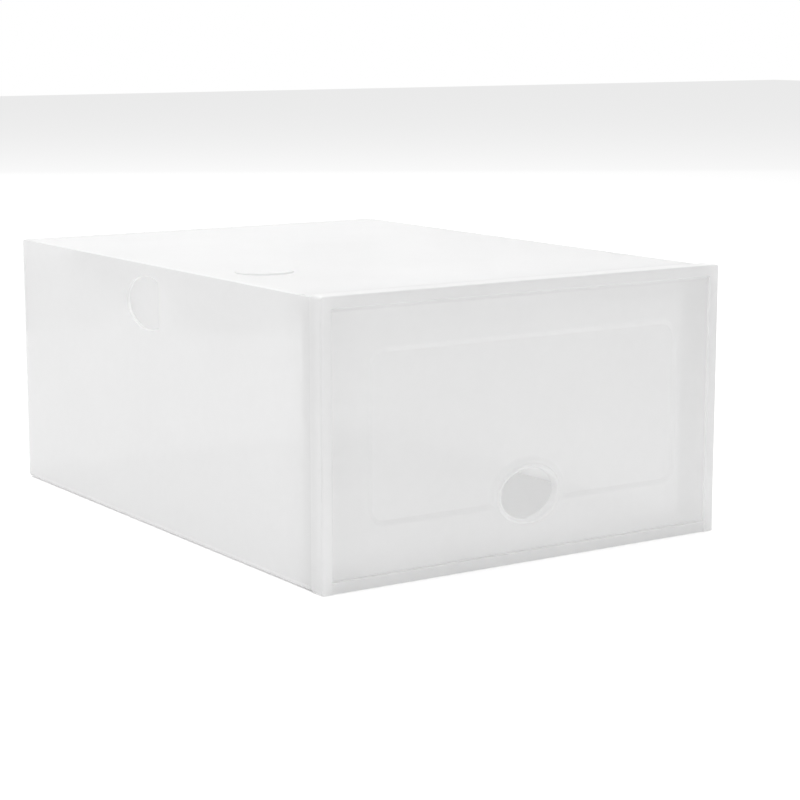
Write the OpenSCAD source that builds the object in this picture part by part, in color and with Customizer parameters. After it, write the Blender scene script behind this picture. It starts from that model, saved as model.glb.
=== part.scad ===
// Foldable shoe box: a moulded front frame with a flip-up door, on a body folded from one thin sheet.
// +Z is up, the door faces -Y, and the origin is on the floor under the middle of the box.

/* [Overall size] */
// Width of the front frame
frame_w = 240; // [210:1:280]
// Height of the front frame
frame_h = 140; // [120:1:160]
// Depth from the frame's face to the rear panel
box_d = 326; // [300:1:360]

/* [Front frame] */
// Depth of the frame's skirt in front of the sheet
skirt_d = 9.5; // [9:0.5:12]
// Width of the lip round the door
lip_w = 5.6; // [5:0.1:7]
// Width of the ledge that the door shuts against
stop_w = 2.9; // [2.5:0.1:4]
// How far the collar reaches into the body
collar_d = 9; // [6:0.5:10]
// Wall of the moulded collar
collar_wall = 1.5; // [1.2:0.1:1.6]
// Radius of the frame's outer corners
frame_r = 2; // [1.5:0.5:4]
// Rounding of the frame's front edges
edge_r = 1; // [0.6:0.1:1.4]
// Ribs across the collar's channel on each long side
long_ribs = 7; // [3:1:11]
// Ribs across the collar's channel on each short side
short_ribs = 3; // [1:1:5]

/* [Door] */
// How far the door's face lies behind the frame's face
door_inset = 1.2; // [1:0.1:1.5]
// Thickness of the door's skin
door_t = 1.8; // [1.6:0.1:2]
// Gap round the door
door_gap = 0.4; // [0.3:0.1:0.6]
// Radius of the hinge pins
pin_r = 1.5; // [1.2:0.1:1.6]
// Width of the sunk panel
panel_w = 187; // [150:1:190]
// Height of the sunk panel
panel_h = 85; // [75:1:88]
// Corner radius of the sunk panel
panel_r = 9; // [6:1:14]
// Depth of the sunk panel
panel_depth = 1; // [0.6:0.1:1.2]
// Height of the middle of the sunk panel above the floor
panel_z = 71.5; // [70:0.5:73]
// Width of the finger hole
finger_w = 34; // [28:1:36]
// Height of the finger hole
finger_h = 25.5; // [22:0.5:27]
// Height of the middle of the finger hole above the floor
finger_z = 34.5; // [32:0.5:38]

/* [Body sheet] */
// Thickness of the sheet
sheet_t = 0.8; // [0.6:0.1:0.8]
// How far the frame stands proud of the side panels
side_step = 0.8; // [0.8:0.1:1.2]
// How far the frame stands proud of the top panel
top_step = 1.2; // [1:0.1:1.4]
// How far the frame stands below the bottom panel
base_step = 1; // [0.8:0.1:1.2]
// Depth of the top panel's side flaps at their deepest
flap_depth = 28.5; // [24:0.5:32]
// Radius of the side flaps' lower edge
flap_arc_r = 411; // [380:1:450]
// Width of the rear dust flaps
dust_w = 60; // [40:1:80]

/* [Lock tabs] */
// Length of the side lock tabs' outline
side_tab_l = 49; // [40:1:52]
// Height of the side lock tabs' outline
side_tab_h = 28; // [22:1:28]
// Middle of the side lock tabs below the top edge
side_tab_drop = 20.2; // [20:0.1:24]
// How far the side lock tabs are pressed in, in degrees
side_tab_set = 3; // [1:0.5:4]
// Diameter of the top lock tab
top_tab_d = 30; // [24:1:34]
// How far the top lock tab stands up at its free edge, in degrees
top_tab_set = 2; // [0:0.5:2]
// Width of the slit round a lock tab
slit_w = 0.5; // [0.4:0.1:0.8]

/* [Hidden] */
$fn = 64;
hull_fn = 32;
eps = 0.01;
over = 1;
white = [0.93, 0.93, 0.92];
door_white = [0.88, 0.89, 0.89];
sheet_white = [0.91, 0.92, 0.92];

// places along the depth
y_front = -box_d / 2;
y_rear = box_d / 2;
skirt_y = y_front + skirt_d;
collar_y = skirt_y + collar_d;
door_y = y_front + door_inset;
door_back_y = door_y + door_t;
stop_y = door_back_y + door_t + 0.4;
stop_t = 1.5;
core_y = stop_y + stop_t;
sheet_y = skirt_y + 0.2;

// the faces and middle planes of the sheet, as half widths and heights
fit = 0.2;
half_t = sheet_t / 2;
side_out = frame_w / 2 - side_step;
side_mid = side_out - half_t;
side_in = side_out - sheet_t;
base_z = base_step;
base_mid = base_z + half_t;
base_in = base_z + sheet_t;
top_z = frame_h - top_step;
top_mid = top_z - half_t;
top_in = top_z - sheet_t;
rear_mid = y_rear - half_t;
rear_in = y_rear - sheet_t;
crease_gap = 0.1;
fold_start = half_t + crease_gap;
inner_fold_start = 1.2;

// the frame's opening and the collar that fills the body's mouth
open_w = frame_w - 2 * lip_w;
open_h = frame_h - 2 * lip_w;
throat_w = open_w - 2 * stop_w;
throat_h = open_h - 2 * stop_w;
collar_w = 2 * (side_in - fit);
collar_h = top_in - base_in - 2 * fit;
collar_z = (top_in + base_in) / 2;
core_r = 1.5;
open_r = 0.8;
rib_t = 1.2;
sill_top = lip_w;
sill_set = 0.3;
sill_slope = 1.5;

// the door and its hinge
hinge_y = door_back_y;
hinge_z = frame_h - lip_w - door_gap - door_t;
door_w = open_w - 2 * door_gap;
door_low = lip_w + door_gap;
rim_t = 1.6;
rim_d = door_t + 0.1;
pin_len = 2.6;
socket_r = pin_r + 0.06;
socket_len = pin_len + 0.3;
bevel_w = 2.5;
bead_w = 2.6;
bead_h = 1;
bead_top = 1.2;
collar_ring = 1.4;
ring_depth = 4;
boss_w = 3.2;
nub_r = 0.6;
nub_rise = 0.25;
nub_len = 10;
nub_x = 60;

// the flaps
side_flap_x = side_in - fit - half_t;
side_flap_mid_y = -37;
side_flap_front = collar_y + 1;
side_flap_rear = 96;
dust_y = rear_in - fit - half_t;
dust_low = 86;
dust_high = 128;
dust_swing_r = 134;
dust_corner = 12;

// the lock tabs
side_tab_y = 8;
side_tab_z = top_z - side_tab_drop;
side_tab_hinge = side_tab_y - 12;
side_tab_chord = side_tab_h / 2 * sqrt(1 - pow(2 * (side_tab_y - side_tab_hinge) / side_tab_l, 2)) + 0.2;
notch_grow = 0.6;
top_tab = [-86, -55];
top_tab_hinge = top_tab.y + 11;
top_tab_chord = sqrt(pow(top_tab_d / 2, 2) - pow(top_tab_hinge - top_tab.y, 2)) + 0.2;
moon_r = 16.9;
moon = [129.9, -90];

// ---- helpers ----

// A block between two opposite corners
module block(low, high) {
    translate(low)
        cube(high - low);
}

// A plate that stands facing the front, cut to the children's outline
module plate(y0, y1) {
    translate([0, y1, 0])
        rotate([90, 0, 0])
            linear_extrude(y1 - y0)
                children();
}

// A sheet that stands facing the side, cut to the children's outline drawn in depth and height
module side_sheet(x0, x1) {
    translate([x0, 0, 0])
        rotate([90, 0, 90])
            linear_extrude(x1 - x0)
                children();
}

// A rectangle with rounded corners, about its own middle
module round_rect(w, h, r, segments = $fn) {
    square([w - 2 * r, h], center = true);
    square([w, h - 2 * r], center = true);
    for (sx = [-1, 1], sz = [-1, 1])
        translate([sx * (w / 2 - r), sz * (h / 2 - r)])
            circle(r, $fn = segments);
}

function oval_points(w, h, n = 64) = [for (i = [0 : n - 1]) [w / 2 * cos(360 * i / n), h / 2 * sin(360 * i / n)]];

// An oval about its own middle
module oval(w, h) {
    polygon(oval_points(w, h));
}

// The finger hole's oval, grown by the same amount all round
module finger_oval(grow) {
    translate([0, finger_z])
        oval(finger_w + 2 * grow, finger_h + 2 * grow);
}

// A rounded bead along X, Y or Z where the sheet is creased
module bead_x(half_len, y, z, r = half_t) {
    translate([-half_len, y, z])
        rotate([0, 90, 0])
            cylinder(h = 2 * half_len, r = r);
}

module bead_y(x, y0, y1, z) {
    translate([x, y1, z])
        rotate([90, 0, 0])
            cylinder(h = y1 - y0, r = half_t);
}

module bead_z(x, y, z0, z1) {
    translate([x, y, z0])
        cylinder(h = z1 - z0, r = half_t);
}

// ---- front frame ----

module frame_outline(w, h, r, mid = frame_h / 2) {
    translate([0, mid])
        round_rect(w, h, r);
}

// What is left of a square edge once it is rounded, along X, at the top front
module edge_waste(len) {
    difference() {
        block([-len / 2, -over, -edge_r], [len / 2, edge_r, over]);
        translate([-len, edge_r, -edge_r])
            rotate([0, 90, 0])
                cylinder(h = 2 * len, r = edge_r);
    }
}

// The waste of all four front edges
module front_edges() {
    for (turn = [0, 180])
        translate([0, y_front, frame_h / 2])
            rotate([0, turn, 0])
                translate([0, 0, frame_h / 2])
                    edge_waste(frame_w + 2 * over);
    for (turn = [90, 270])
        translate([0, y_front, frame_h / 2])
            rotate([0, turn, 0])
                translate([0, 0, frame_w / 2])
                    edge_waste(frame_h + 2 * over);
}

// The channel behind the ledge, open to the rear and crossed by ribs
module collar_core() {
    core_w = collar_w - 2 * collar_wall;
    core_h = collar_h - 2 * collar_wall;
    wall_w = throat_w + 2 * collar_wall;
    wall_h = throat_h + 2 * collar_wall;
    difference() {
        plate(core_y, collar_y + over)
            difference() {
                frame_outline(core_w, core_h, core_r, collar_z);
                frame_outline(wall_w, wall_h, core_r);
            }
        for (i = [1 : long_ribs])
            translate([-wall_w / 2 + i * wall_w / (long_ribs + 1), 0, 0])
                block([-rib_t / 2, core_y - over, 0], [rib_t / 2, collar_y + 2 * over, frame_h]);
        for (i = [1 : short_ribs])
            translate([0, 0, (frame_h - wall_h) / 2 + i * wall_h / (short_ribs + 1)])
                block([-frame_w / 2, core_y - over, -rib_t / 2], [frame_w / 2, collar_y + 2 * over, rib_t / 2]);
    }
}

// The sill under the door, set back and leaning away from the face
module sill_slope_waste() {
    side_sheet(-open_w / 2, open_w / 2)
        polygon([
            [y_front - over, sill_top + over],
            [y_front + sill_set, sill_top + over],
            [y_front + sill_set, sill_top],
            [y_front + sill_slope, -over],
            [y_front - over, -over]
        ]);
}

module pin_sockets() {
    for (side = [-1, 1])
        translate([side * (open_w / 2 - over), hinge_y, hinge_z])
            rotate([0, side * 90, 0])
                cylinder(h = socket_len + over, r = socket_r);
}

module front_frame() {
    color(white)
        difference() {
            union() {
                plate(y_front, skirt_y)
                    frame_outline(frame_w, frame_h, frame_r);
                plate(core_y, collar_y)
                    frame_outline(collar_w, collar_h, frame_r, collar_z);
            }
            front_edges();
            plate(y_front - over, stop_y)
                frame_outline(open_w, open_h, open_r);
            plate(y_front - over, collar_y + over)
                frame_outline(throat_w, throat_h, core_r);
            collar_core();
            sill_slope_waste();
            pin_sockets();
        }
}

// ---- door ----

// A thin slice of a rounded panel, for the bevelled recess
module panel_slice(y, shrink) {
    plate(y, y + eps)
        translate([0, panel_z])
            round_rect(panel_w - 2 * shrink, panel_h - 2 * shrink, panel_r - shrink, hull_fn);
}

// The sunk panel as a solid that starts at a face and tapers back from it
module sunk_panel(y0, y1) {
    hull() {
        panel_slice(y0, 0);
        panel_slice(y1 - eps, bevel_w);
    }
}

// A thin slice of the oval, for the rolled rim of the finger hole
module oval_slice(y, grow) {
    plate(y, y + eps)
        finger_oval(grow);
}

module door_skin() {
    difference() {
        union() {
            block([-door_w / 2, door_y, door_low], [door_w / 2, door_back_y, hinge_z]);
            sunk_panel(door_back_y - eps, door_back_y + panel_depth);
        }
        difference() {
            union() {
                sunk_panel(door_y, door_y + panel_depth);
                plate(door_y - over, door_y + eps)
                    translate([0, panel_z])
                        round_rect(panel_w, panel_h, panel_r, hull_fn);
            }
            plate(door_y - 2 * over, door_y + door_t)
                finger_oval(boss_w);
        }
    }
}

// The rim that stiffens the door's back along its sides and foot
module door_rim() {
    back = door_back_y + rim_d;
    for (side = [-1, 1])
        translate([side * (door_w - rim_t) / 2, 0, 0])
            block([-rim_t / 2, door_y, door_low], [rim_t / 2, back, hinge_z]);
    block([-door_w / 2, door_y, door_low], [door_w / 2, back, door_low + rim_t]);
}

module door_hinge() {
    bead_x(door_w / 2, hinge_y, hinge_z, door_t);
    bead_x(door_w / 2 + pin_len, hinge_y, hinge_z, pin_r);
}

// The raised, rolled rim of the finger hole and the grip ring behind it
module finger_rim() {
    hull() {
        oval_slice(door_y + eps, bead_w);
        oval_slice(door_y - bead_h * 0.7, bead_w * 0.8);
        oval_slice(door_y - bead_h, bead_w * 0.45);
    }
    plate(door_y, door_y + ring_depth)
        finger_oval(collar_ring);
}

module finger_hole() {
    plate(y_front - over, door_y + ring_depth + over)
        finger_oval(0);
    hull() {
        oval_slice(door_y - bead_h - eps, bead_top);
        oval_slice(door_y, 0);
    }
}

// Two low nubs that click under the frame's sill
module latch_nubs() {
    for (side = [-1, 1])
        translate([side * nub_x, 0, 0])
            bead_x(nub_len / 2, door_back_y, door_low + nub_r - nub_rise, nub_r);
}

module door() {
    color(door_white)
        difference() {
            union() {
                door_skin();
                door_rim();
                door_hinge();
                finger_rim();
                latch_nubs();
            }
            finger_hole();
        }
}

// ---- body sheet ----

module bottom_panel() {
    color(sheet_white) {
        block([-side_mid, sheet_y, base_z], [side_mid, rear_mid, base_in]);
        for (side = [-1, 1])
            bead_y(side * side_mid, sheet_y, dust_y, base_mid);
        bead_x(side_mid, rear_mid, base_mid);
    }
}

// The outline of a side lock tab, as seen from the side; only the part behind its hinge is cut free
module side_tab_outline(grow) {
    intersection() {
        translate([side_tab_y, side_tab_z])
            oval(side_tab_l + 2 * grow, side_tab_h + 2 * grow);
        translate([side_tab_hinge, side_tab_z - side_tab_h])
            square([side_tab_l, 2 * side_tab_h]);
    }
}

// The right-hand side panel; the left one is its mirror image
module side_panel() {
    color(sheet_white) {
        difference() {
            block([side_in, sheet_y, base_mid + fold_start], [side_out, dust_y, top_z]);
            side_sheet(side_in - over, side_out + over)
                side_tab_outline(0);
        }
        bead_z(side_mid, dust_y, dust_low, dust_high);
        bead_z(side_mid, side_tab_hinge, side_tab_z - side_tab_chord, side_tab_z + side_tab_chord);
    }
}

module right_panel() {
    side_panel();
}

module left_panel() {
    mirror([1, 0, 0])
        side_panel();
}

// The right-hand lock tab, pressed in a little so that its free edge lies behind the panel
module side_lock_tab() {
    color(sheet_white)
        translate([side_mid, side_tab_hinge, 0])
            rotate([0, 0, side_tab_set])
                translate([-side_mid, -side_tab_hinge, 0])
                    difference() {
                        side_sheet(side_in, side_out)
                            side_tab_outline(-slit_w);
                        block([side_in - over, side_tab_hinge - over, 0],
                              [side_out + over, side_tab_hinge + fold_start, frame_h]);
                    }
}

module right_lock_tab() {
    side_lock_tab();
}

module left_lock_tab() {
    mirror([1, 0, 0])
        side_lock_tab();
}

// The right-hand dust flap, an ear cut back by an arc so that it clears the shut top as the side folds out
module dust_flap() {
    inner_x = side_mid - inner_fold_start;
    color(sheet_white)
        plate(dust_y - half_t, dust_y + half_t)
            intersection() {
                polygon([
                    [inner_x, dust_low],
                    [inner_x, dust_high],
                    [inner_x - dust_w, dust_high],
                    [inner_x - dust_w, dust_low + dust_corner],
                    [inner_x - dust_w + dust_corner, dust_low]
                ]);
                translate([side_mid, base_mid])
                    circle(dust_swing_r, $fn = 180);
            }
}

module right_dust_flap() {
    dust_flap();
}

module left_dust_flap() {
    mirror([1, 0, 0])
        dust_flap();
}

module rear_panel() {
    color(sheet_white) {
        block([-side_out, rear_in, base_mid + fold_start], [side_out, y_rear, top_mid]);
        bead_x(side_flap_x, rear_mid, top_mid);
    }
}

// A half-moon slit near the right-hand fold of the top
module moon_slit() {
    translate([moon.x, moon.y, top_in - over])
        linear_extrude(sheet_t + 2 * over)
            intersection() {
                difference() {
                    circle(moon_r + slit_w / 2);
                    circle(moon_r - slit_w / 2);
                }
                translate([-2 * moon_r, -moon_r])
                    square([side_flap_x - 1 - moon.x + 2 * moon_r, 2 * moon_r]);
            }
}

// The outline of the top lock tab from above; only the part in front of its hinge is cut free
module top_tab_outline(grow) {
    intersection() {
        translate(top_tab)
            circle(d = top_tab_d + 2 * grow);
        translate([top_tab.x - top_tab_d, top_tab_hinge - 2 * top_tab_d])
            square(2 * top_tab_d);
    }
}

module top_panel() {
    y0 = sheet_y;
    y1 = rear_mid - fold_start;
    color(sheet_white) {
        difference() {
            union() {
                block([-side_flap_x, y0, top_in], [side_flap_x, y1, top_z]);
                for (side = [-1, 1])
                    bead_y(side * side_flap_x, y0, y1, top_mid);
            }
            translate([0, 0, top_in - over])
                linear_extrude(sheet_t + 2 * over)
                    top_tab_outline(0);
            moon_slit();
        }
        translate([top_tab.x, 0, 0])
            bead_x(top_tab_chord, top_tab_hinge, top_mid);
    }
}

module top_lock_tab() {
    color(sheet_white)
        translate([0, top_tab_hinge, top_mid])
            rotate([-top_tab_set, 0, 0])
                translate([0, -top_tab_hinge, -top_mid])
                    difference() {
                        translate([0, 0, top_in])
                            linear_extrude(sheet_t)
                                top_tab_outline(-slit_w);
                        block([top_tab.x - top_tab_d, top_tab_hinge - fold_start, top_in - over],
                              [top_tab.x + top_tab_d, top_tab_hinge + over, top_z + over]);
                    }
}

// The right-hand side flap: a long arc that tucks inside the side panel, arched over the lock tab
module side_flap() {
    high = top_mid - inner_fold_start;
    color(sheet_white)
        side_sheet(side_flap_x - half_t, side_flap_x + half_t)
            difference() {
                intersection() {
                    translate([side_flap_front, high - flap_depth])
                        square([side_flap_rear - side_flap_front, flap_depth]);
                    translate([side_flap_mid_y, top_z - flap_depth + flap_arc_r])
                        circle(flap_arc_r, $fn = 720);
                }
                translate([side_tab_y, side_tab_z])
                    oval(side_tab_l + 2 * notch_grow, side_tab_h + 2 * notch_grow);
            }
}

module right_side_flap() {
    side_flap();
}

module left_side_flap() {
    mirror([1, 0, 0])
        side_flap();
}

front_frame();
door();
bottom_panel();
left_panel();
right_panel();
rear_panel();
top_panel();
left_side_flap();
right_side_flap();
left_dust_flap();
right_dust_flap();
left_lock_tab();
right_lock_tab();
top_lock_tab();
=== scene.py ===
"""Looks of the foldable shoe box: a frosted sheet body, a moulded front frame, a flip-up door and the
living hinges between the panels."""

import math

import bmesh
import bpy
import numpy as np
from mathutils import Matrix, Vector
from mathutils.geometry import delaunay_2d_cdt


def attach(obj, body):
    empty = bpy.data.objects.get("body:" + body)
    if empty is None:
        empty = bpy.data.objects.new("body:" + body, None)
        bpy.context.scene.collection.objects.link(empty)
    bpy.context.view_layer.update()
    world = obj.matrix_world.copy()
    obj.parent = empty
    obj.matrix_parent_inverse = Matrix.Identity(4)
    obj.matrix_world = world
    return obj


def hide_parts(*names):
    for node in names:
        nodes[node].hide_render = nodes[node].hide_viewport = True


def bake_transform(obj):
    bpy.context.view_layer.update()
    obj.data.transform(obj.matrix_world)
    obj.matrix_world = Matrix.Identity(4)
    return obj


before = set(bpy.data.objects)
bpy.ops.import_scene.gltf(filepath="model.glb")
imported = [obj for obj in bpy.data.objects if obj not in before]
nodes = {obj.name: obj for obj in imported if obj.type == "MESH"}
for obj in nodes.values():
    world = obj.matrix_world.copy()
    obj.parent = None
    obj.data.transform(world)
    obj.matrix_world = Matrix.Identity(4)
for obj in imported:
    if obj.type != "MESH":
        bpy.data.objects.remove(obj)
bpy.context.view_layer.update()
MM = 0.001

# ---- camera ----

CAMERA_PLACE = Vector((-633.7, -994.4, 264.3)) * MM
CAMERA_AZIMUTH = math.radians(-33.821)
CAMERA_ELEVATION = math.radians(9.958)
SENSOR_MM = 36.0
LENS_MM = 98.01
CLIP_NEAR = 0.05
CLIP_FAR = 50.0


def link_object(name, data):
    """A new object that holds data, in the scene."""
    made = bpy.data.objects.new(name, data)
    bpy.context.scene.collection.objects.link(made)
    return made


def add_camera():
    data = bpy.data.cameras.new("view_camera")
    data.sensor_width = SENSOR_MM
    data.lens = LENS_MM
    data.clip_start = CLIP_NEAR
    data.clip_end = CLIP_FAR
    camera = link_object("view_camera", data)
    level = math.cos(CAMERA_ELEVATION)
    back = Vector((
        math.sin(CAMERA_AZIMUTH) * level,
        -math.cos(CAMERA_AZIMUTH) * level,
        math.sin(CAMERA_ELEVATION),
    ))
    right = Vector((math.cos(CAMERA_AZIMUTH), math.sin(CAMERA_AZIMUTH), 0.0))
    up = back.cross(right)
    turn = Matrix((right, up, back)).transposed()
    camera.matrix_world = Matrix.Translation(CAMERA_PLACE) @ turn.to_4x4()
    bpy.context.scene.camera = camera


# ---- node helpers ----


def new_material(name):
    material = bpy.data.materials.new(name)
    material.use_nodes = True
    tree = material.node_tree
    tree.nodes.clear()
    return material, tree


def link(tree, source, target):
    tree.links.new(source, target)


def add(tree, kind, **values):
    """A node of that kind, with its inputs set by name."""
    node = tree.nodes.new(kind)
    for name, value in values.items():
        node.inputs[name.replace("_", " ")].default_value = value
    return node


def calc(tree, operation, *values):
    """A Math node. Each value is a number or another node's output."""
    node = tree.nodes.new("ShaderNodeMath")
    node.operation = operation
    for socket, value in zip(node.inputs, values):
        if isinstance(value, bpy.types.NodeSocket):
            link(tree, value, socket)
        else:
            socket.default_value = value
    return node.outputs[0]


def noise(tree, vector, scale, detail=2.0, roughness=0.5):
    node = add(tree, "ShaderNodeTexNoise", Scale=scale, Detail=detail, Roughness=roughness)
    link(tree, vector, node.inputs["Vector"])
    return node.outputs["Fac"]


PATTERN_RANGE = {"From_Min": 0.3, "From_Max": 0.7}


def spread(tree, factor, low, high):
    """Maps a pattern that lies about a half on to low to high."""
    node = add(tree, "ShaderNodeMapRange", To_Min=low, To_Max=high, **PATTERN_RANGE)
    link(tree, factor, node.inputs["Value"])
    return node.outputs["Result"]


def grey(level):
    return (level, level, level, 1.0)


def two_tone(tree, factor, dark, light):
    """A grey between dark and light; either may be a number or another node's colour."""
    node = tree.nodes.new("ShaderNodeMix")
    node.data_type = "RGBA"
    for name, value in (("A", dark), ("B", light)):
        if isinstance(value, bpy.types.NodeSocket):
            link(tree, value, node.inputs[name])
        else:
            node.inputs[name].default_value = grey(value)
    link(tree, factor, node.inputs["Factor"])
    return node.outputs["Result"]


def shader_mix(tree, share, first, second):
    """Mixes two shaders. The share of the second is a number or another node's output."""
    node = tree.nodes.new("ShaderNodeMixShader")
    if isinstance(share, bpy.types.NodeSocket):
        link(tree, share, node.inputs["Fac"])
    else:
        node.inputs["Fac"].default_value = share
    link(tree, first, node.inputs[1])
    link(tree, second, node.inputs[2])
    return node.outputs[0]


def finish_material(tree, shader):
    out = tree.nodes.new("ShaderNodeOutputMaterial")
    link(tree, shader, out.inputs["Surface"])


def seen_directly(tree, *rays):
    """1 for the named kinds of ray, and 0 for the rest."""
    paths = tree.nodes.new("ShaderNodeLightPath")
    seen = paths.outputs[rays[0]]
    for ray in rays[1:]:
        seen = calc(tree, "MAXIMUM", seen, paths.outputs[ray])
    return seen


# ---- materials ----

CLOUD_SCALE, CLOUD_DETAIL, CLOUD_SHARE = 14.0, 3.0, 0.65
MOTTLE_SCALE, MOTTLE_SHARE = 160.0, 0.35
GRAIN_DETAIL, GRAIN_ROUGHNESS = 1.5, 0.6
GRAIN_STRENGTH = 0.35
ROUGHNESS_SPREAD = 0.05
PLASTIC_IOR = 1.49


def polypropylene(name, dark, light, glow, clear, roughness, grain_scale, grain_depth):
    """Frosted or moulded polypropylene. glow is the share of light that comes through scattered, and clear
    the share that goes straight through. Both act where light enters a wall, so a wall scatters once."""
    material, tree = new_material(name)
    place = tree.nodes.new("ShaderNodeTexCoord").outputs["Object"]
    cloud = noise(tree, place, CLOUD_SCALE, CLOUD_DETAIL)
    mottle = noise(tree, place, MOTTLE_SCALE)
    grain = noise(tree, place, grain_scale, GRAIN_DETAIL, GRAIN_ROUGHNESS)
    tint = calc(tree, "MULTIPLY_ADD", mottle, MOTTLE_SHARE, calc(tree, "MULTIPLY", cloud, CLOUD_SHARE))
    colour = two_tone(tree, spread(tree, tint, 0.0, 1.0), dark, light)
    bump = add(tree, "ShaderNodeBump", Strength=GRAIN_STRENGTH, Distance=grain_depth)
    link(tree, grain, bump.inputs["Height"])
    plastic = add(tree, "ShaderNodeBsdfPrincipled", IOR=PLASTIC_IOR)
    sheen = spread(tree, mottle, roughness - ROUGHNESS_SPREAD, roughness + ROUGHNESS_SPREAD)
    link(tree, colour, plastic.inputs["Base Color"])
    link(tree, sheen, plastic.inputs["Roughness"])
    link(tree, bump.outputs["Normal"], plastic.inputs["Normal"])
    through = tree.nodes.new("ShaderNodeBsdfTranslucent")
    link(tree, colour, through.inputs["Color"])
    link(tree, bump.outputs["Normal"], through.inputs["Normal"])
    milky = shader_mix(tree, glow, plastic.outputs[0], through.outputs[0])
    leaving = add(tree, "ShaderNodeMapRange", To_Min=clear, To_Max=1.0)
    link(tree, tree.nodes.new("ShaderNodeNewGeometry").outputs["Backfacing"], leaving.inputs["Value"])
    straight = tree.nodes.new("ShaderNodeBsdfTransparent").outputs[0]
    finish_material(tree, shader_mix(tree, leaving.outputs["Result"], milky, straight))
    return material


FLOOR_TONE, FLOOR_SPREAD, FLOOR_SCALE = 0.97, 0.02, 3.0
FLOOR_SEEN = 1.3


def floor_material():
    """A pale floor that shows as plain white, and lights the box as a pale floor does."""
    material, tree = new_material("pale_floor")
    place = tree.nodes.new("ShaderNodeTexCoord").outputs["Object"]
    pale = two_tone(tree, noise(tree, place, FLOOR_SCALE), FLOOR_TONE, FLOOR_TONE + FLOOR_SPREAD)
    seen = seen_directly(tree, "Is Camera Ray", "Is Glossy Ray", "Is Transmission Ray")
    diffuse = tree.nodes.new("ShaderNodeBsdfDiffuse")
    link(tree, two_tone(tree, seen, pale, FLOOR_SEEN), diffuse.inputs["Color"])
    finish_material(tree, diffuse.outputs[0])
    return material


# ---- stage ----

SKY_LEVEL = 0.63
SKY_SEEN = 1.0
FLOOR_REACH = 6.0
LAMP_AIM = Vector((0, 0, 0.07))
SOFTBOXES = (
    # name, place, size, watts
    ("overhead_softbox", (-0.2, 0.3, 2.2), 2.0, 26.0),
    ("left_softbox", (-2.2, -0.2, 1.2), 1.6, 0.6),
    ("front_softbox", (0.3, -2.2, 0.25), 1.6, 0.7),
    ("rear_softbox", (1.2, 2.0, 0.9), 1.8, 0.6),
)
STRIP_PLACE = (0.03, -0.226, 0.005)
STRIP_LENGTH, STRIP_WIDTH, STRIP_WATTS = 0.6, 0.006, 0.025


def add_sky():
    world = bpy.data.worlds.new("soft_sky")
    bpy.context.scene.world = world
    world.use_nodes = True
    tree = world.node_tree
    tree.nodes.clear()
    level = add(tree, "ShaderNodeMapRange", To_Min=SKY_LEVEL, To_Max=SKY_SEEN)
    link(tree, seen_directly(tree, "Is Camera Ray", "Is Glossy Ray"), level.inputs["Value"])
    sky = add(tree, "ShaderNodeBackground", Color=grey(1.0))
    link(tree, level.outputs["Result"], sky.inputs["Strength"])
    out = tree.nodes.new("ShaderNodeOutputWorld")
    link(tree, sky.outputs[0], out.inputs["Surface"])


def add_floor():
    mesh = bpy.data.meshes.new("floor")
    r = FLOOR_REACH
    mesh.from_pydata([(-r, -r, 0), (r, -r, 0), (r, r, 0), (-r, r, 0)], [], [(0, 1, 2, 3)])
    mesh.materials.append(floor_material())
    floor = link_object("floor", mesh)


def add_lamps():
    for name, place, size, watts in SOFTBOXES:
        light = bpy.data.lights.new(name, "AREA")
        light.shape = "SQUARE"
        light.size = size
        light.energy = watts
        lamp = link_object(name, light)
        lamp.location = place
        lamp.rotation_euler = (Vector(place) - LAMP_AIM).to_track_quat("Z", "Y").to_euler()

    strip = bpy.data.lights.new("low_front_strip", "AREA")
    strip.shape = "RECTANGLE"
    strip.size = STRIP_LENGTH
    strip.size_y = STRIP_WIDTH
    strip.energy = STRIP_WATTS
    lamp = link_object("low_front_strip", strip)
    lamp.location = STRIP_PLACE
    lamp.rotation_euler = (math.radians(90), 0, 0)
    lamp.visible_camera = False
    lamp.visible_glossy = False


# ---- door: its form, in millimetres ----

DOOR_FACE, DOOR_BACK = -161.8, -160.0
DOOR_HALF_W, DOOR_LOW, DOOR_HIGH = 114.0, 6.0, 134.0
BARREL_R, BARREL_Z = 1.8, 132.2
PANEL_W, PANEL_H, PANEL_R, PANEL_Z = 187.0, 85.0, 9.0, 71.5
PANEL_DEPTH, PANEL_BEVEL, PANEL_FILLET = 1.0, 2.5, 0.7
FINGER_W, FINGER_H, FINGER_Z = 34.0, 25.5, 34.5
BOSS_W, BOSS_BLEND = 3.2, 1.6
RIM_W, RIM_H = 2.6, 1.0
RING_W, RING_DEPTH, RING_EASE, RING_ROUND = 1.4, 2.2, 0.3, 0.35
EDGE_R = 0.6
BACK_RIM_W, BACK_RIM_H, BACK_RIM_EASE = 1.6, 1.9, 0.2
PIN_R, PIN_LEN, PIN_OUT, PIN_SIDES = 1.5, 3.4, 0.9, 48
NUB_R, NUB_LEN, NUB_X, NUB_Z, NUB_SIDES = 0.6, 10.0, 60.0, 6.35, 32
OVAL_TRIES = 12


def panel_distance(x, z):
    """How far a point of the door's face lies outside the sunk panel's outline; negative inside."""
    qx = np.abs(x) - (PANEL_W / 2 - PANEL_R)
    qz = np.abs(z - PANEL_Z) - (PANEL_H / 2 - PANEL_R)
    outside = np.hypot(np.maximum(qx, 0), np.maximum(qz, 0))
    return outside + np.minimum(np.maximum(qx, qz), 0) - PANEL_R


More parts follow.
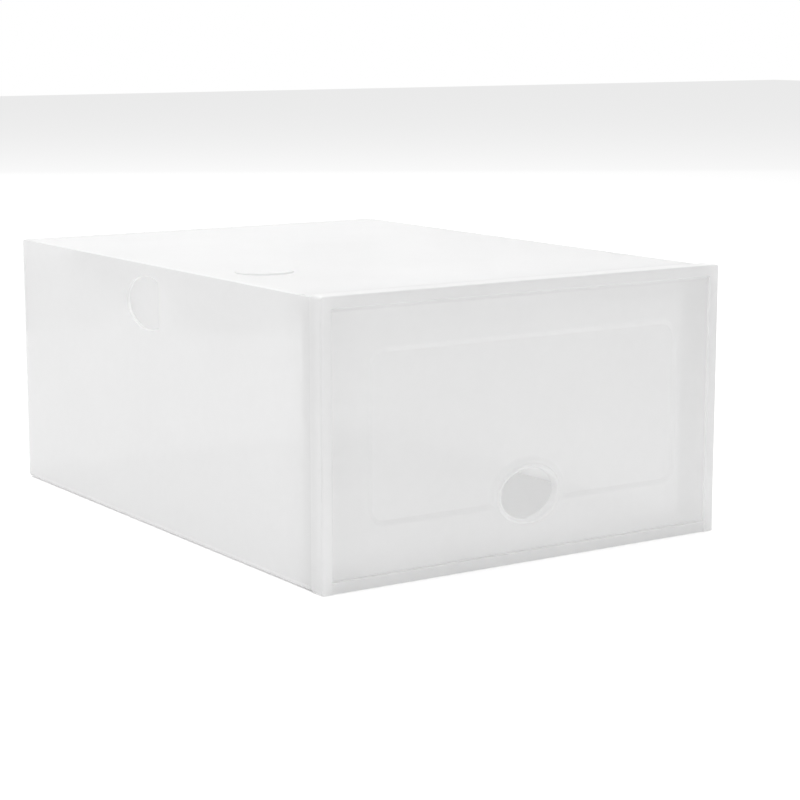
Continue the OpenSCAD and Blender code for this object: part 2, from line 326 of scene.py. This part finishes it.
def oval_distance(x, z):
    """How far a point lies outside the finger hole's oval; negative inside. Newton's steps find the
    nearest point of the oval."""
    a, b = FINGER_W / 2, FINGER_H / 2
    px, pz = np.abs(x), np.abs(z - FINGER_Z)
    t = np.arctan2(pz * a, np.maximum(px, 1e-9) * b)
    for _ in range(OVAL_TRIES):
        sine, cosine = np.sin(t), np.cos(t)
        off_x, off_z = px - a * cosine, pz - b * sine
        slope = off_x * a * sine - off_z * b * cosine
        bend = a * a * sine ** 2 + b * b * cosine ** 2 + off_x * a * cosine + off_z * b * sine
        t = np.clip(t - slope / np.maximum(bend, 1.0), 0, math.pi / 2)
    gap = np.hypot(px - a * np.cos(t), pz - b * np.sin(t))
    inside = (px / a) ** 2 + (pz / b) ** 2 < 1
    return np.where(inside, -gap, gap)


def eased_ramp(d, length, fillet):
    """Rises from 0 to 1 over a length, straight in the middle and with a fillet at each end."""
    half = fillet / 2

    def area(u):
        low = np.clip(u + half, 0, fillet)
        return low * low / (2 * fillet) + np.maximum(u - half, 0)

    return (area(d) - area(d - length)) / length


def smooth_min(a, b, k):
    h = np.clip(0.5 + 0.5 * (b - a) / k, 0, 1)
    return b * (1 - h) + a * h - k * h * (1 - h)


def recess(x, z):
    """How deep the face is sunk at a point."""
    inside = smooth_min(-panel_distance(x, z), oval_distance(x, z) - BOSS_W, BOSS_BLEND)
    return PANEL_DEPTH * eased_ramp(inside, PANEL_BEVEL, PANEL_FILLET)


def edge_inset(x, z):
    return np.minimum(DOOR_HALF_W - np.abs(x), z - DOOR_LOW)


def rounding(inset, r):
    """How far an edge of radius r has dropped away at an inset from it."""
    u = np.clip(r - inset, 0, r)
    return r - np.sqrt(np.maximum(r * r - u * u, 0))


def rim_rise(s):
    """The rolled rim's height at a distance from the finger hole: round there, and eased into the boss."""
    middle = RIM_W / 2
    u = np.clip((s - middle) / middle, -1, 1)
    rolled = np.sqrt(np.maximum(1 - u ** 4, 0))
    eased = 0.5 + 0.5 * np.cos(math.pi * u)
    return RIM_H * np.where(u < 0, rolled, eased)


def barrel_bulge(z):
    """How far the hinge barrel reaches from its own axis at a height."""
    return np.sqrt(np.maximum(BARREL_R ** 2 - (z - BARREL_Z) ** 2, 0))


def door_front(x, z):
    y = DOOR_FACE + recess(x, z) + rounding(edge_inset(x, z), EDGE_R) - rim_rise(oval_distance(x, z))
    return np.where(z > BARREL_Z, DOOR_BACK - barrel_bulge(z), y)


def door_back(x, z):
    inset = edge_inset(x, z)
    wall = np.clip((BACK_RIM_W + BACK_RIM_EASE / 2 - inset) / BACK_RIM_EASE, 0, 1)
    y = DOOR_BACK + recess(x, z) + BACK_RIM_H * wall - rounding(inset, EDGE_R) * wall
    s = oval_distance(x, z)
    ring = np.clip((RING_W + RING_EASE / 2 - s) / RING_EASE, 0, 1)
    y = np.maximum(y, DOOR_BACK + RING_DEPTH * ring - RING_ROUND * rounding(s, EDGE_R))
    barrel = DOOR_BACK + barrel_bulge(z)
    near = np.abs(z - BARREL_Z) < BARREL_R
    y = np.where(near & (z > BARREL_Z), barrel, y)
    return np.where(near, np.maximum(barrel, y), y)


# ---- door: its net of points ----

EDGE_STEP = 1.0
EDGE_INSETS = (0.05, 0.15, 0.3, 0.45, EDGE_R, BACK_RIM_W - BACK_RIM_EASE / 2, BACK_RIM_W + BACK_RIM_EASE / 2)
TOP_INSET, BELOW_BARREL = 0.02, 0.2
BARREL_ROWS, BARREL_TURN = 13, 15
BARREL_SHRINK, ROW_SHRINK = 0.9995, 0.001
ROW_COUNT = 228
PANEL_STEP, CORNER_STEPS, LONG_GAP = 1.25, 12, 1.2
OVAL_COUNT = 120
RIM_STEPS = (0, 0.04, 0.12, 0.25, 0.45, 0.7, 1.0, RIM_W / 2, 1.45, 1.55, 1.8, 2.05, 2.3, RIM_W)
BOSS_STEP, BOSS_RINGS = 0.5, 7
BOSS_MARGIN = 0.6
BOSS_CLEAR = BOSS_W + PANEL_BEVEL + PANEL_FILLET + BOSS_MARGIN
FINE_X, FINE_Z, FINE_COLUMNS, FINE_ROWS = 0.5, 0.4, 60, 12
FINE_NEAR, FINE_FAR = BOSS_W + 3.9, BOSS_CLEAR - 0.15
COARSE_STEP, COARSE_COLUMNS, COARSE_ROWS = 6.0, 18, 20
COARSE_CLEAR, COARSE_HOLE = 1.5, 9.0
NET_MERGE = 1e-5
HOLE_EDGE = 0.998


def rect_ring(inset, inset_high):
    """Points round a rectangle inside the door's edges."""
    w = DOOR_HALF_W - inset
    low, high = DOOR_LOW + inset, DOOR_HIGH - inset_high
    nx, nz = max(2, round(2 * w / EDGE_STEP)), max(2, round((high - low) / EDGE_STEP))
    pts = [(-w + 2 * w * i / nx, low) for i in range(nx)]
    pts += [(w, low + (high - low) * i / nz) for i in range(nz)]
    pts += [(w - 2 * w * i / nx, high) for i in range(nx)]
    pts += [(-w, high - (high - low) * i / nz) for i in range(nz)]
    return pts


def panel_ring(shrink):
    """Points round the sunk panel's outline, shrunk by that much."""
    w, h, r = PANEL_W / 2 - shrink, PANEL_H / 2 - shrink, PANEL_R - shrink
    mid_w, mid_h = w - r, h - r
    corners = ((mid_w, mid_h, 0), (-mid_w, mid_h, 90), (-mid_w, -mid_h, 180), (mid_w, -mid_h, 270))
    pts = []
    for cx, cz, start in corners:
        for i in range(CORNER_STEPS + 1):
            a = math.radians(start + 90 * i / CORNER_STEPS)
            pts.append((cx + r * math.cos(a), PANEL_Z + cz + r * math.sin(a)))
    full = []
    for i, p in enumerate(pts):
        q = pts[(i + 1) % len(pts)]
        gap = math.hypot(q[0] - p[0], q[1] - p[1])
        n = max(1, round(gap / PANEL_STEP)) if gap > PANEL_STEP * LONG_GAP else 1
        full += [(p[0] + (q[0] - p[0]) * k / n, p[1] + (q[1] - p[1]) * k / n) for k in range(n)]
    return full


def oval_ring(grow):
    """Points round the finger hole's oval, grown by that much."""
    a, b = FINGER_W / 2, FINGER_H / 2
    pts = []
    for i in range(OVAL_COUNT):
        t = 2 * math.pi * i / OVAL_COUNT
        nx, nz = b * math.cos(t), a * math.sin(t)
        size = math.hypot(nx, nz)
        pts.append((a * math.cos(t) + grow * nx / size, FINGER_Z + b * math.sin(t) + grow * nz / size))
    return pts


def at(measure, x, z):
    """One of the distances above, at a single point."""
    return float(measure(np.array([x]), np.array([z]))[0])


def door_net():
    """The door's face as a flat net of triangles, with rings of points wherever its surface bends."""
    points, edges = [], []

    def ring(pts, keep=None):
        index = {}
        for i, p in enumerate(pts):
            if keep is None or keep(*p):
                index[i] = len(points)
                points.append(Vector(p))
        for i in range(len(pts)):
            j = (i + 1) % len(pts)
            if i in index and j in index:
                edges.append((index[i], index[j]))

    ring(rect_ring(0, 0))
    for inset in EDGE_INSETS:
        ring(rect_ring(inset, TOP_INSET), lambda x, z: z < BARREL_Z - BARREL_R - BELOW_BARREL)
    for k in range(BARREL_ROWS):
        z = BARREL_Z + BARREL_R * math.sin(math.radians(-90 + BARREL_TURN * k)) * BARREL_SHRINK
        half = DOOR_HALF_W - ROW_SHRINK
        first = len(points)
        for i in range(ROW_COUNT + 1):
            points.append(Vector((-half + 2 * half * i / ROW_COUNT, z)))
            if i:
                edges.append((first + i - 1, first + i))
    f = PANEL_FILLET / 2
    foot = PANEL_BEVEL
    for d in (-f, -f / 2, 0, f / 2, f, foot / 2, foot - f, foot - f / 2, foot, foot + f / 2, foot + f):
        ring(panel_ring(d), lambda x, z: at(oval_distance, x, z) > BOSS_CLEAR)
    boss_steps = [BOSS_W - f, BOSS_W, BOSS_W + f]
    boss_steps += [BOSS_W + f + BOSS_STEP * i for i in range(1, BOSS_RINGS + 1)]
    for s in [*RIM_STEPS, *boss_steps]:
        ring(oval_ring(s))
    low = PANEL_Z - PANEL_H / 2
    for ix in range(-FINE_COLUMNS, FINE_COLUMNS + 1):
        for iz in range(-FINE_ROWS, FINE_ROWS + 1):
            x, z = ix * FINE_X, low + iz * FINE_Z
            if FINE_NEAR < at(oval_distance, x, z) < FINE_FAR:
                points.append(Vector((x, z)))
    for ix in range(-COARSE_COLUMNS, COARSE_COLUMNS + 1):
        for iz in range(1, COARSE_ROWS + 1):
            x, z = ix * COARSE_STEP, DOOR_LOW + iz * COARSE_STEP
            d = at(panel_distance, x, z)
            flat = d > COARSE_CLEAR or d < -PANEL_BEVEL - COARSE_CLEAR
            below = z < BARREL_Z - BARREL_R - COARSE_CLEAR
            if flat and below and at(oval_distance, x, z) > COARSE_HOLE:
                points.append(Vector((x, z)))
    found, _, faces, *_ = delaunay_2d_cdt(points, edges, [], 0, NET_MERGE)
    xz = np.array([(p.x, p.y) for p in found])
    kept = []
    for face in faces:
        c = xz[list(face)].mean(axis=0)
        if (c[0] / (FINGER_W / 2)) ** 2 + ((c[1] - FINGER_Z) / (FINGER_H / 2)) ** 2 >= HOLE_EDGE:
            kept.append(tuple(face))
    return xz, kept


# ---- door: its piece ----

MERGE_GAP, THIN_GAP = 2e-6, 1e-6
SHARP_ANGLE = math.radians(60)


def smooth_piece(name, verts, faces, material):
    mesh = bpy.data.meshes.new(name)
    mesh.from_pydata([tuple(v) for v in verts], [], faces)
    mesh.materials.append(material)
    return link_object(name, mesh)


def twice_area(a, b, c):
    u, v = b - a, c - a
    return u[0] * v[1] - u[1] * v[0]


def add_rod(bm, radius, length, sides, place):
    """A rod along the door's width."""
    rod = bmesh.ops.create_cone(
        bm, cap_ends=True, segments=sides, radius1=radius * MM, radius2=radius * MM, depth=length * MM
    )
    turn = Matrix.Rotation(math.radians(90), 4, "Y")
    bmesh.ops.transform(bm, verts=rod["verts"], matrix=Matrix.Translation(Vector(place) * MM) @ turn)


def add_door(material):
    xz, faces = door_net()
    x, z = xz[:, 0], xz[:, 1]
    n = len(xz)
    front = np.column_stack([x, door_front(x, z), z])
    back = np.column_stack([x, np.maximum(door_back(x, z), door_front(x, z)), z])
    shell = []
    sides = {}
    for face in faces:
        if twice_area(*xz[list(face)]) <= 0:
            face = face[::-1]
        shell.append(face)
        shell.append(tuple(v + n for v in face[::-1]))
        for i in range(3):
            sides[face[i], face[(i + 1) % 3]] = True
    for a, b in sides:
        if (b, a) not in sides:
            shell.append((b, a, a + n, b + n))
    piece = smooth_piece("flip_door", np.vstack([front, back]) * MM, shell, material)
    bm = bmesh.new()
    bm.from_mesh(piece.data)
    bmesh.ops.remove_doubles(bm, verts=bm.verts, dist=MERGE_GAP)
    bmesh.ops.dissolve_degenerate(bm, edges=bm.edges, dist=THIN_GAP)
    for side in (-1, 1):
        add_rod(bm, PIN_R, PIN_LEN, PIN_SIDES, (side * (DOOR_HALF_W + PIN_OUT), DOOR_BACK, BARREL_Z))
        add_rod(bm, NUB_R, NUB_LEN, NUB_SIDES, (side * NUB_X, DOOR_BACK, NUB_Z))
    for face in bm.faces:
        face.smooth = True
    bmesh.ops.recalc_face_normals(bm, faces=bm.faces)
    bm.to_mesh(piece.data)
    bm.free()
    piece.data.set_sharp_from_angle(angle=SHARP_ANGLE)
    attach(piece, "door")
    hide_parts("door")
    return piece


# ---- living hinges ----

WEB_COLUMNS = 41
WEB_T = 0.12
WEB_REACH = 1.6
WEB_ROW = 8.0


def hinge_tree(material):
    """A thin web that wraps a fold: a grid bent over an arc, with a straight leg on each side."""
    tree = bpy.data.node_groups.new("living_hinge", "GeometryNodeTree")
    for name, kind, value in (
        ("Length", "NodeSocketFloat", 0.1),
        ("Reach", "NodeSocketFloat", 0.0016),
        ("Radius", "NodeSocketFloat", 0.00045),
        ("Half Turn", "NodeSocketFloat", math.pi / 4),
        ("Rows", "NodeSocketInt", 40),
    ):
        socket = tree.interface.new_socket(name, in_out="INPUT", socket_type=kind)
        socket.default_value = value
    tree.interface.new_socket("Mesh", in_out="OUTPUT", socket_type="NodeSocketGeometry")
    source = tree.nodes.new("NodeGroupInput").outputs
    result = tree.nodes.new("NodeGroupOutput").inputs
    radius, limit = source["Radius"], source["Half Turn"]

    half = calc(tree, "ADD", calc(tree, "MULTIPLY", radius, limit), source["Reach"])
    grid = tree.nodes.new("GeometryNodeMeshGrid")
    grid.inputs["Vertices Y"].default_value = WEB_COLUMNS
    link(tree, source["Length"], grid.inputs["Size X"])
    link(tree, calc(tree, "MULTIPLY", half, 2.0), grid.inputs["Size Y"])
    link(tree, source["Rows"], grid.inputs["Vertices X"])
    parts = tree.nodes.new("ShaderNodeSeparateXYZ")
    link(tree, tree.nodes.new("GeometryNodeInputPosition").outputs[0], parts.inputs[0])
    along, across = parts.outputs["X"], parts.outputs["Y"]

    turn = calc(tree, "MINIMUM", calc(tree, "DIVIDE", across, radius), limit)
    turn = calc(tree, "MAXIMUM", turn, calc(tree, "MULTIPLY", limit, -1.0))
    leg = calc(tree, "SUBTRACT", across, calc(tree, "MULTIPLY", turn, radius))
    sine, cosine = calc(tree, "SINE", turn), calc(tree, "COSINE", turn)
    side = calc(tree, "ADD", calc(tree, "MULTIPLY", radius, sine), calc(tree, "MULTIPLY", leg, cosine))
    out = calc(tree, "SUBTRACT", calc(tree, "MULTIPLY", radius, cosine), calc(tree, "MULTIPLY", leg, sine))
    bent = tree.nodes.new("ShaderNodeCombineXYZ")
    for value, axis in ((along, "X"), (side, "Y"), (out, "Z")):
        link(tree, value, bent.inputs[axis])
    moved = tree.nodes.new("GeometryNodeSetPosition")
    link(tree, grid.outputs["Mesh"], moved.inputs["Geometry"])
    link(tree, bent.outputs[0], moved.inputs["Position"])
    real = tree.nodes.new("GeometryNodeRealizeInstances")
    link(tree, moved.outputs[0], real.inputs[0])
    finish = tree.nodes.new("GeometryNodeSetMaterial")
    finish.inputs["Material"].default_value = material
    link(tree, real.outputs[0], finish.inputs["Geometry"])
    link(tree, finish.outputs[0], result["Mesh"])
    return tree


def add_hinge(name, tree, values, place, material):
    """One web, bent between the two panels that it joins."""
    holder = link_object(name, bpy.data.meshes.new(name))
    modifier = holder.modifiers.new("web", "NODES")
    modifier.node_group = tree
    for item in tree.interface.items_tree:
        if item.item_type == "SOCKET" and item.in_out == "INPUT" and item.name in values:
            modifier[item.identifier] = values[item.name]
    skin = holder.modifiers.new("skin", "SOLIDIFY")
    skin.thickness = WEB_T * MM
    skin.offset = 0.0
    bpy.context.view_layer.update()
    evaluated = holder.evaluated_get(bpy.context.evaluated_depsgraph_get())
    mesh = bpy.data.meshes.new_from_object(evaluated)
    holder.modifiers.clear()
    holder.data = mesh
    mesh.transform(place)
    mesh.polygons.foreach_set("use_smooth", [True] * len(mesh.polygons))
    if not mesh.materials:
        mesh.materials.append(material)
    bm = bmesh.new()
    bm.from_mesh(mesh)
    bmesh.ops.recalc_face_normals(bm, faces=bm.faces)
    bm.to_mesh(mesh)
    bm.free()
    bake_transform(holder)
    return holder


def web_place(middle, along, out):
    """Carries the web's own axes, along the fold and outwards, to a fold's place."""
    along, out = Vector(along).normalized(), Vector(out).normalized()
    across = out.cross(along)
    return Matrix.Translation(middle) @ Matrix((along, across, out)).transposed().to_4x4()


def crease_web(name, p, q, out):
    """A web along the fold from p to q, with out the way that the fold's outside faces."""
    p, q = Vector(p) * MM, Vector(q) * MM
    middle, length = (p + q) / 2, (q - p).length
    values = {"Length": length, "Reach": WEB_REACH * MM, "Rows": max(2, int(length / (WEB_ROW * MM)))}
    add_hinge(name, web, values, web_place(middle, q - p, out), crease)


# ---- build ----

add_camera()
add_sky()
add_floor()
add_lamps()

SHEET = {"glow": 0.36, "clear": 0.12, "roughness": 0.45, "grain_scale": 1800.0, "grain_depth": 0.00006}
CREASE = {"glow": 0.38, "clear": 0.12, "roughness": 0.5, "grain_scale": 1400.0, "grain_depth": 0.00005}
DOOR = {"glow": 0.45, "clear": 0.16, "roughness": 0.38, "grain_scale": 1500.0, "grain_depth": 0.00004}
FRAME = {"glow": 0.42, "clear": 0.0, "roughness": 0.36, "grain_scale": 1300.0, "grain_depth": 0.00004}
sheet = polypropylene("frosted_sheet", dark=0.955, light=0.98, **SHEET)
crease = polypropylene("creased_sheet", dark=0.965, light=0.985, **CREASE)
door_plastic = polypropylene("frosted_door", dark=0.93, light=0.955, **DOOR)
frame_plastic = polypropylene("moulded_frame", dark=0.885, light=0.915, **FRAME)
# The lock tabs get a darker copy of the sheet material: painted shade, for the shade that falls on the tabs
# where they sit pressed a little into the box.
shaded_tab_sheet = polypropylene("lock_tab_painted_shade", dark=0.915, light=0.94, **SHEET)
own_material = {
    "front_frame": frame_plastic,
    "left_lock_tab": shaded_tab_sheet,
    "right_lock_tab": shaded_tab_sheet,
}

for name, node in nodes.items():
    node.data.materials.clear()
    node.data.materials.append(own_material.get(name, sheet))

add_door(door_plastic)

SHEET_Y, REAR_WEB, DUST_Y = -153.3, 162.48, 161.6
SIDE_MID, BASE_MID, TOP_MID, FLAP_X = 118.8, 1.4, 138.4, 117.8
FLAP_FRONT, FLAP_REAR = -143.5, 96.0
EAR_LOW, EAR_HIGH = 86.0, 128.0
LOWER_HALF, UPPER_HALF = 118.4, 117.6
web = hinge_tree(crease)

for side, sign in (("left", -1), ("right", 1)):
    x = sign * SIDE_MID
    crease_web(
        f"{side}_base_crease",
        (x, SHEET_Y, BASE_MID), (x, DUST_Y, BASE_MID), (sign, 0, -1),
    )
    flap_x = sign * FLAP_X
    crease_web(
        f"{side}_top_crease",
        (flap_x, FLAP_FRONT, TOP_MID), (flap_x, FLAP_REAR, TOP_MID), (sign, 0, 1),
    )
    crease_web(
        f"{side}_rear_crease",
        (x, DUST_Y, EAR_LOW), (x, DUST_Y, EAR_HIGH), (sign, 1, 0),
    )
crease_web(
    "lower_rear_crease",
    (-LOWER_HALF, REAR_WEB, BASE_MID), (LOWER_HALF, REAR_WEB, BASE_MID), (0, 1, -1),
)
crease_web(
    "upper_rear_crease",
    (-UPPER_HALF, REAR_WEB, TOP_MID), (UPPER_HALF, REAR_WEB, TOP_MID), (0, 1, 1),
)

bpy.context.scene.view_settings.view_transform = "Standard"
